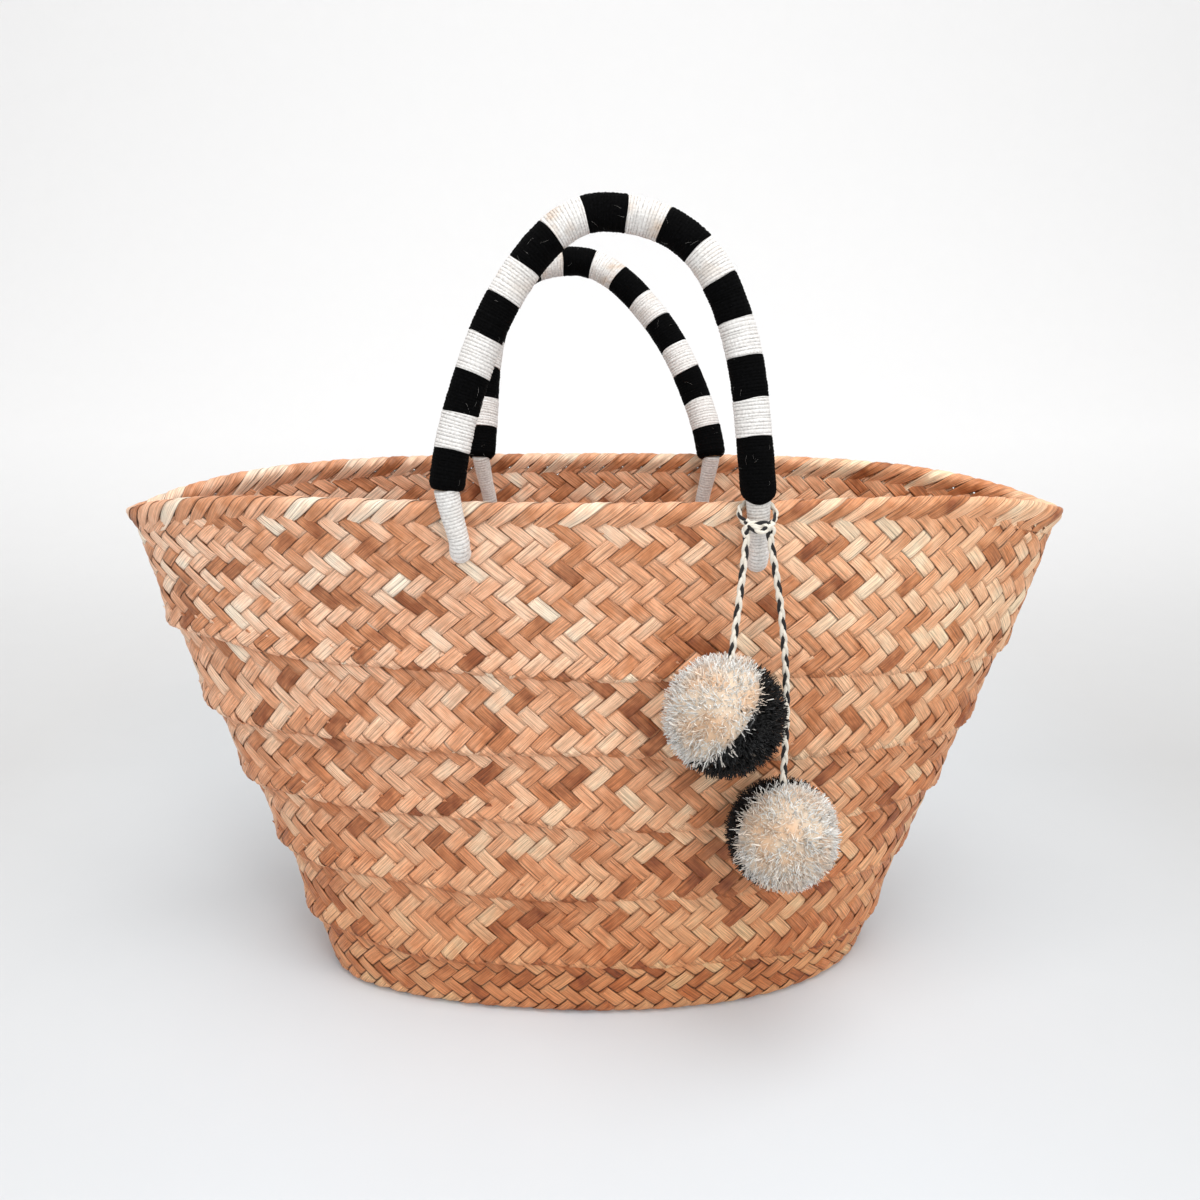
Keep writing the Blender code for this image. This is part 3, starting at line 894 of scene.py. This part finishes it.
def make_pompom(name, centre, radius, facing, natural, black):
    """Two halves of cut raffia blades that all spring from the tied middle."""
    for colour, side, material in (("natural", 1, natural), ("black", -1, black)):
        skin = Skin()
        aims = unit(RANDOM.normal(0, 1, (3 * BLADES, 3)))
        ragged = 0.05 * np.sin(5 * aims[:, 0] * 3 + aims[:, 2] * 7)
        aims = aims[(aims @ facing) * side > ragged * side][:BLADES]
        count = len(aims)
        reach = radius * BLADE_REACH * draw(0.88, 1.02, (count, 1, 1))
        share = np.linspace(0, 1, 4)[:, None]
        stray = unit(np.cross(aims, RANDOM.normal(0, 1, (count, 3))))
        sway = draw(0.3, 6.5, (count, 1, 1)) * MM
        path = centre + aims[:, None] * mix(radius * BLADE_START, reach, share)
        path = path + stray[:, None] * sway * share**2
        along = directions(path, 1)
        flat = unit(np.cross(along, RANDOM.normal(0, 1, (count, 1, 3))))
        thin = np.cross(along, flat)
        width = draw(0.26, 0.50, (count, 1, 1, 1)) * MM * (1 - 0.45 * share[..., None] ** 3)
        corners = np.array((-1.0, 0.0, 1.0))
        lift = np.array((0.0, 0.28, 0.0))[:, None]
        blade = path[:, :, None] + width * (corners[:, None] * flat[:, :, None] + lift * thin[:, :, None])
        # The exposure rises from root to tip and sets the raffia's painted shade.
        skin.add(blade, draw(0, 1, (count, 1, 1)), share * 14 * MM, corners / 2, 0.35 + 0.65 * share)
        add_heart(skin, centre, HEART_SIZE * radius, facing * side)
        skin.make(f"{name}_{colour}_raffia", material, colour + "_raffia", name, (f"{name}_{colour}_half",))


def add_heart(skin, centre, radius, facing):
    """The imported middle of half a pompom, a rough half ball under the blades."""
    side = unit(np.cross(facing, np.array((0.3, 0.2, 1.0))))
    up = np.cross(facing, side)
    polar = np.concatenate((np.linspace(0.03, math.pi / 2 - 0.02, 14), [math.pi / 2 - 0.02]))
    reach = np.concatenate((np.full(14, 1.0), [0.05]))
    around = circle(36)
    rough = 1 + draw(-0.03, 0.03, (len(polar), len(around)))
    rings = np.cos(polar)[:, None, None] * facing * np.where(reach < 1, 0.03, 1.0)[:, None, None]
    rings = rings + (np.sin(polar) * reach)[:, None, None] * spokes(around, side, up)
    points = centre + radius * rings * rough[..., None]
    # The low exposure gives the middle the raffia's painted shade.
    skin.add(points[None], 0.4, 0.0, 0.0, 0.4)


# ---- materials


def linear(value):
    value = value / 255
    return value / 12.92 if value <= 0.04045 else ((value + 0.055) / 1.055) ** 2.4


def srgb(*values):
    return *map(linear, values), 1.0


class Shader:
    """A material's node tree, with short calls for the nodes it uses."""

    def __init__(self, name):
        self.material = bpy.data.materials.new(name)
        self.material.use_nodes = True
        self.tree = self.material.node_tree
        self.surface = self.tree.nodes["Principled BSDF"]

    def node(self, kind, inputs, **settings):
        made = self.tree.nodes.new(kind)
        for name, value in settings.items():
            setattr(made, name, value)
        return self.connect(made, inputs)

    def connect(self, node, inputs):
        for key, value in inputs.items():
            if isinstance(value, bpy.types.NodeSocket):
                self.tree.links.new(value, node.inputs[key])
            else:
                node.inputs[key].default_value = value
        return node

    def fibre(self):
        """Along, across and exposure of the fibre, and its tone."""
        names = ("fibre", "tone")
        fibre, tone = (self.node("ShaderNodeAttribute", {}, attribute_name=name) for name in names)
        return *self.split(fibre.outputs["Vector"]), tone.outputs["Fac"]

    def position(self):
        return self.node("ShaderNodeTexCoord", {}).outputs["Object"]

    def math(self, operation, first, second=0.0):
        return self.node("ShaderNodeMath", {0: first, 1: second}, operation=operation).outputs[0]

    def times(self, first, second):
        return self.math("MULTIPLY", first, second)

    def split(self, vector):
        """The three parts of a vector."""
        return self.node("ShaderNodeSeparateXYZ", {0: vector}).outputs

    def remap(self, value, low, high, to_low=0.0, to_high=1.0):
        inputs = {"Value": value, "From Min": low, "From Max": high, "To Min": to_low, "To Max": to_high}
        return self.node("ShaderNodeMapRange", inputs).outputs[0]

    def noise(self, vector, scale, detail=2.0):
        inputs = {"Vector": vector, "Scale": scale, "Detail": detail}
        return self.node("ShaderNodeTexNoise", inputs).outputs[0]

    def streaks(self, along, across, seed, detail):
        """Noise drawn out along the fibre; along and across each come with their scale."""
        inputs = {0: self.times(*along), 1: self.times(*across), 2: seed}
        return self.noise(self.node("ShaderNodeCombineXYZ", inputs).outputs[0], 1.0, detail)

    def ramp(self, factor, stops):
        made = self.node("ShaderNodeValToRGB", {0: factor})
        elements = made.color_ramp.elements
        while len(elements) < len(stops):
            elements.new(0.5)
        for element, (place, colour) in zip(elements, stops):
            element.position = place
            element.color = srgb(*colour)
        return made.outputs[0]

    def blend(self, factor, first, second, kind="MIX"):
        inputs = {0: factor, 6: first, 7: second}
        return self.node("ShaderNodeMix", inputs, data_type="RGBA", blend_type=kind).outputs[2]

    def tint(self, share, colour, tinge):
        """The colour, with a share of it multiplied by the tinge."""
        return self.blend(share, colour, self.blend(1.0, colour, tinge, "MULTIPLY"))

    def shade(self, colour, value):
        """The colour times a grey value."""
        grey = self.node("ShaderNodeCombineColor", {0: value, 1: value, 2: value}).outputs[0]
        return self.blend(1.0, colour, grey, "MULTIPLY")

    def finish(self, colour, roughness, height=None, depth=0.1 * MM, shine=0.5, sheen=0.0):
        links = {
            "Base Color": colour, "Roughness": roughness, "Specular IOR Level": shine, "Sheen Weight": sheen,
        }
        if height is not None:
            bump = {"Height": height, "Distance": depth, "Strength": 1.0}
            links["Normal"] = self.node("ShaderNodeBump", bump).outputs[0]
        self.connect(self.surface, links)
        return self.material


# Place in the strands' tones, from 0 to 1, and the colour there
STRAW_COLOURS = (
    (0.0, (150, 84, 46)),
    (0.22, (209, 140, 96)),
    (0.5, (243, 184, 146)),
    (0.78, (255, 215, 184)),
    (1.0, (255, 236, 212)),
)


def straw_material():
    """Dried sedge: pinkish tan to orange brown, streaked along the strand, with painted shade where it
    dives, at its edges and in fold creases.
    """
    s = Shader("plaited_straw")
    along, across, exposed, tone = s.fibre()
    seed = s.times(tone, 91.7)
    streaks = s.streaks((along, 55.0), (across, 13.0), seed, 3.0)
    fine = s.streaks((along, 150.0), (across, 42.0), seed, 2.0)
    blotch = s.noise(s.position(), 95.0, 3.0)
    varied = s.math("ADD", tone, s.remap(blotch, 0.3, 0.7, -0.14, 0.14))
    colour = s.ramp(varied, STRAW_COLOURS)
    colour = s.shade(colour, s.remap(streaks, 0.28, 0.72, 0.56, 1.28))
    colour = s.shade(colour, s.remap(fine, 0.3, 0.7, 0.78, 1.14))
    cracks = s.remap(s.streaks((along, 28.0), (across, 22.0), seed, 1.0), 0.34, 0.29, 0.0, 0.38)
    colour = s.shade(colour, s.math("SUBTRACT", 1.0, cracks))
    # Painted shade in the crease along a fold, on some of the strands.
    fold_place = s.math("SUBTRACT", s.times(s.math("FRACT", seed), 0.7), 0.35)
    fold = s.math("ABSOLUTE", s.math("SUBTRACT", across, fold_place))
    folded = s.math("GREATER_THAN", s.math("FRACT", s.times(tone, 37.3)), 0.55)
    fold_crease_shade = s.times(s.remap(fold, 0.0, 0.045, 0.42, 0.0), folded)
    colour = s.shade(colour, s.math("SUBTRACT", 1.0, fold_crease_shade))
    # Painted shade: dark along each strand's edges, in the gaps between strands, and where it dives under
    # its neighbours.
    colour = s.shade(colour, s.remap(s.math("ABSOLUTE", across), 0.445, 0.5, 1.0, 0.2))
    colour = s.shade(colour, s.remap(exposed, 0.05, 0.42, 0.22, 1.0))
    across_basket, _, height = s.split(s.position())
    # Darker and more orange towards the bottom.
    low = s.remap(height, 0.02, 0.24, 1.0, 0.0)
    colour = s.tint(low, colour, srgb(226, 198, 166))
    # A little more orange towards the right.
    right = s.remap(across_basket, -0.1, 0.2)
    colour = s.tint(right, colour, srgb(255, 247, 232))
    relief = s.math("ADD", s.times(streaks, 0.8), s.times(fine, 0.4))
    relief = s.math("SUBTRACT", relief, s.times(fold_crease_shade, 1.2))
    roughness = s.remap(streaks, 0.3, 0.7, 0.58, 0.42)
    return s.finish(colour, roughness, relief, 0.36 * MM, shine=0.4)


def yarn_material(name, dark, light, tinge, sheen, shine):
    """Plied cotton yarn wound side by side, with its twist, fluff, hand stains and painted shade in the
    grooves between turns.
    """
    s = Shader(name)
    along, across, exposed, tone = s.fibre()
    twist = s.math("ADD", s.times(along, 1700.0), s.times(across, 2.5))
    plies = s.math("ABSOLUTE", s.math("SINE", twist))
    fluff = s.noise(s.position(), 900.0, 4.0)
    clouds = s.noise(s.position(), 110.0)
    colour = s.blend(s.remap(fluff, 0.3, 0.7), srgb(*dark), srgb(*light))
    colour = s.shade(colour, s.remap(tone, 0.0, 1.0, 0.93, 1.03))
    # Painted shade in the grooves between the turns; here across holds the yarn's bulge.
    colour = s.shade(colour, s.remap(across, 0.0, 0.75, 0.70, 1.0))
    dirty = s.times(s.remap(exposed, 0.5, 1.0, 1.0, 0.0), s.remap(clouds, 0.42, 0.62, 0.0, 0.8))
    colour = s.tint(dirty, colour, srgb(*tinge))
    relief = s.math("ADD", s.times(plies, 0.6), s.times(fluff, 0.8))
    return s.finish(colour, 0.92, relief, 0.18 * MM, shine, sheen)


def cord_material():
    """Off-white and black cotton plies."""
    s = Shader("braided_cord")
    along, across, _, tone = s.fibre()
    threads = s.streaks((along, 500.0), (across, 6.0), 0.0, 3.0)
    white = s.blend(threads, srgb(206, 196, 180), srgb(246, 240, 228))
    black = s.blend(threads, srgb(14, 14, 16), srgb(52, 50, 50))
    colour = s.blend(s.math("GREATER_THAN", tone, 0.5), black, white)
    return s.finish(colour, 0.85, threads, 0.15 * MM, shine=0.25, sheen=0.15)


def raffia_material(name, root, body, tip, peach, roughness, shine, sheen):
    """Cut raffia blades with painted shade that deepens towards the tied middle, some of them tinted."""
    s = Shader(name)
    along, across, exposed, tone = s.fibre()
    streaks = s.streaks((along, 180.0), (across, 5.0), s.times(tone, 57.0), 2.0)
    # Painted shade: the blades darken from tip to root, deep in the pompom.
    colour = s.ramp(exposed, ((0.3, root), (0.66, body), (1.0, tip)))
    tinted = s.times(s.remap(s.noise(s.position(), 70.0, 1.0), 0.42, 0.62), 0.75)
    colour = s.tint(tinted, colour, srgb(*peach))
    colour = s.shade(colour, s.remap(streaks, 0.3, 0.7, 0.86, 1.08))
    colour = s.shade(colour, s.remap(tone, 0.0, 1.0, 0.80, 1.22))
    return s.finish(colour, roughness, streaks, 0.08 * MM, shine, sheen)


def rope_material():
    """Twisted rope of the handles' cores."""
    s = Shader("rope")
    place = s.position()
    wave = s.node("ShaderNodeTexWave", {"Vector": place, "Scale": 120.0, "Distortion": 3.0, "Detail": 3.0})
    fibres = s.noise(place, 700.0, 4.0)
    colour = s.blend(fibres, srgb(120, 88, 56), srgb(178, 140, 98))
    colour = s.shade(colour, s.remap(wave.outputs["Fac"], 0.0, 1.0, 0.7, 1.05))
    return s.finish(colour, 0.9, wave.outputs["Fac"], 0.4 * MM)


# ---- studio


AIR_STRENGTH = 0.68
# Name, place, size and power of each light; all aim at the basket's middle
LIGHTS = (
    ("top_light", (0.15, -0.35, 1.5), 0.9, 11.0),
    ("front_light", (0.7, -1.7, 1.2), 0.7, 12.0),
    ("left_light", (-1.6, -0.7, 0.8), 1.0, 3.5),
)
LIGHT_AIM = (0, 0, 0.15)


def make_studio():
    """A pale seamless floor with painted light and shade in its colour, even light from the air, and soft
    lights from above, front and left.
    """
    width, front, back, rise, bend = 6.0, -3.0, 1.6, 2.5, 0.9
    profile = [(front, 0.0), (back - bend, 0.0)]
    for k in range(1, 17):
        angle = k / 16 * math.pi / 2
        profile.append((back - bend + bend * math.sin(angle), bend - bend * math.cos(angle)))
    profile.append((back, rise))
    vertices = [(side * width / 2, y, z) for y, z in profile for side in (-1, 1)]
    faces = [(2 * k, 2 * k + 1, 2 * k + 3, 2 * k + 2) for k in range(len(profile) - 1)]
    mesh = bpy.data.meshes.new("studio_floor")
    mesh.from_pydata(vertices, [], faces)
    mesh.shade_smooth()
    s = Shader("studio_paper")
    spot = s.position()
    grain = s.remap(s.noise(spot, 30.0), 0.0, 1.0, 0.985, 1.0)
    axes = s.split(spot)
    behind = s.remap(axes[1], 0.25, 1.2)
    away = s.remap(s.math("ABSOLUTE", axes[0]), 0.15, 0.5)
    # Painted light and shade on the paper: a cool tint near the basket against its warm bounce light, and
    # painted shade towards the sides.
    paper = s.blend(away, srgb(219, 224, 228), srgb(213, 213, 213))
    # Painted shadow on the floor to the right.
    paper = s.shade(paper, s.remap(axes[0], 0.1, 0.45, 1.0, 0.93))
    # Painted light: the paper behind turns white; the grain is the paper's own.
    paper = s.shade(s.blend(behind, paper, srgb(255, 255, 255)), grain)
    mesh.materials.append(s.finish(paper, 0.95, shine=0.0))
    add_object("studio_floor", mesh)

    world = bpy.data.worlds.new("studio_air")
    world.use_nodes = True
    air = world.node_tree.nodes["Background"].inputs
    air[0].default_value = (1.0, 1.0, 1.0, 1.0)
    air[1].default_value = AIR_STRENGTH
    SCENE.world = world
    for light in LIGHTS:
        add_light(*light)


def add_light(name, place, size, power):
    data = bpy.data.lights.new(name, "AREA")
    data.shape = "SQUARE"
    data.size = size
    data.energy = power
    light = add_object(name, data)
    light.location = place
    light.rotation_euler = (Vector(LIGHT_AIM) - Vector(place)).to_track_quat("-Z", "Y").to_euler()


CAMERA_PLACE = (0.0, -0.598, 0.396)
CAMERA_DOWN = 16.4
CAMERA_LENS = 32.16
CAMERA_SHIFT = 1 / 240


def make_camera():
    data = bpy.data.cameras.new("camera")
    data.sensor_width = 36.0
    data.lens = CAMERA_LENS
    data.shift_x = CAMERA_SHIFT
    camera = add_object("camera", data)
    camera.location = CAMERA_PLACE
    camera.rotation_euler = (math.radians(90 - CAMERA_DOWN), 0.0, 0.0)
    SCENE.camera = camera
    SCENE.view_settings.view_transform = "Standard"


def main():
    straw = straw_material()
    white_yarn = yarn_material("white_yarn", (214, 210, 206), (247, 245, 242), (214, 178, 140), 0.1, 0.2)
    yarns = {
        "black": yarn_material("black_yarn", (2, 2, 2), (9, 9, 10), (230, 225, 220), 0.0, 0.05),
        "white": white_yarn,
    }
    stray = yarn_material("stray_fibre", (196, 190, 182), (238, 234, 228), (255, 255, 255), 0.1, 0.2)
    cord = cord_material()
    # Each raffia's first colour is the painted shade at the blades' roots.
    natural = raffia_material(
        "natural_raffia", (222, 192, 158), (255, 248, 238), (255, 254, 250), (253, 230, 208), 0.5, 0.4, 0.5
    )
    black = raffia_material(
        "black_raffia", (2, 2, 2), (5, 5, 6), (12, 12, 13), (255, 250, 245), 0.25, 0.3, 0.0
    )
    make_wall(straw)
    make_base(straw)
    make_rim(straw)
    make_handle("front_handle", 0.0, FRONT_LEAN, 1.0, 0.0, FRONT_LAST_SHARE, yarns, stray)
    make_handle("back_handle", math.pi, BACK_LEAN, BACK_SIZE, BACK_SWAY, BLACK_SHARE, yarns, stray)
    make_feet(white_yarn)
    make_charm(cord, natural, black)
    rope = rope_material()
    hidden = {"front_handle_rope_core": rope, "back_handle_rope_core": rope}
    hidden.update(short_pompom_tie=cord, long_pompom_tie=cord)
    for node, material in hidden.items():
        materials = frame["nodes"][node].data.materials
        materials.clear()
        materials.append(material)
    make_studio()
    make_camera()


main()
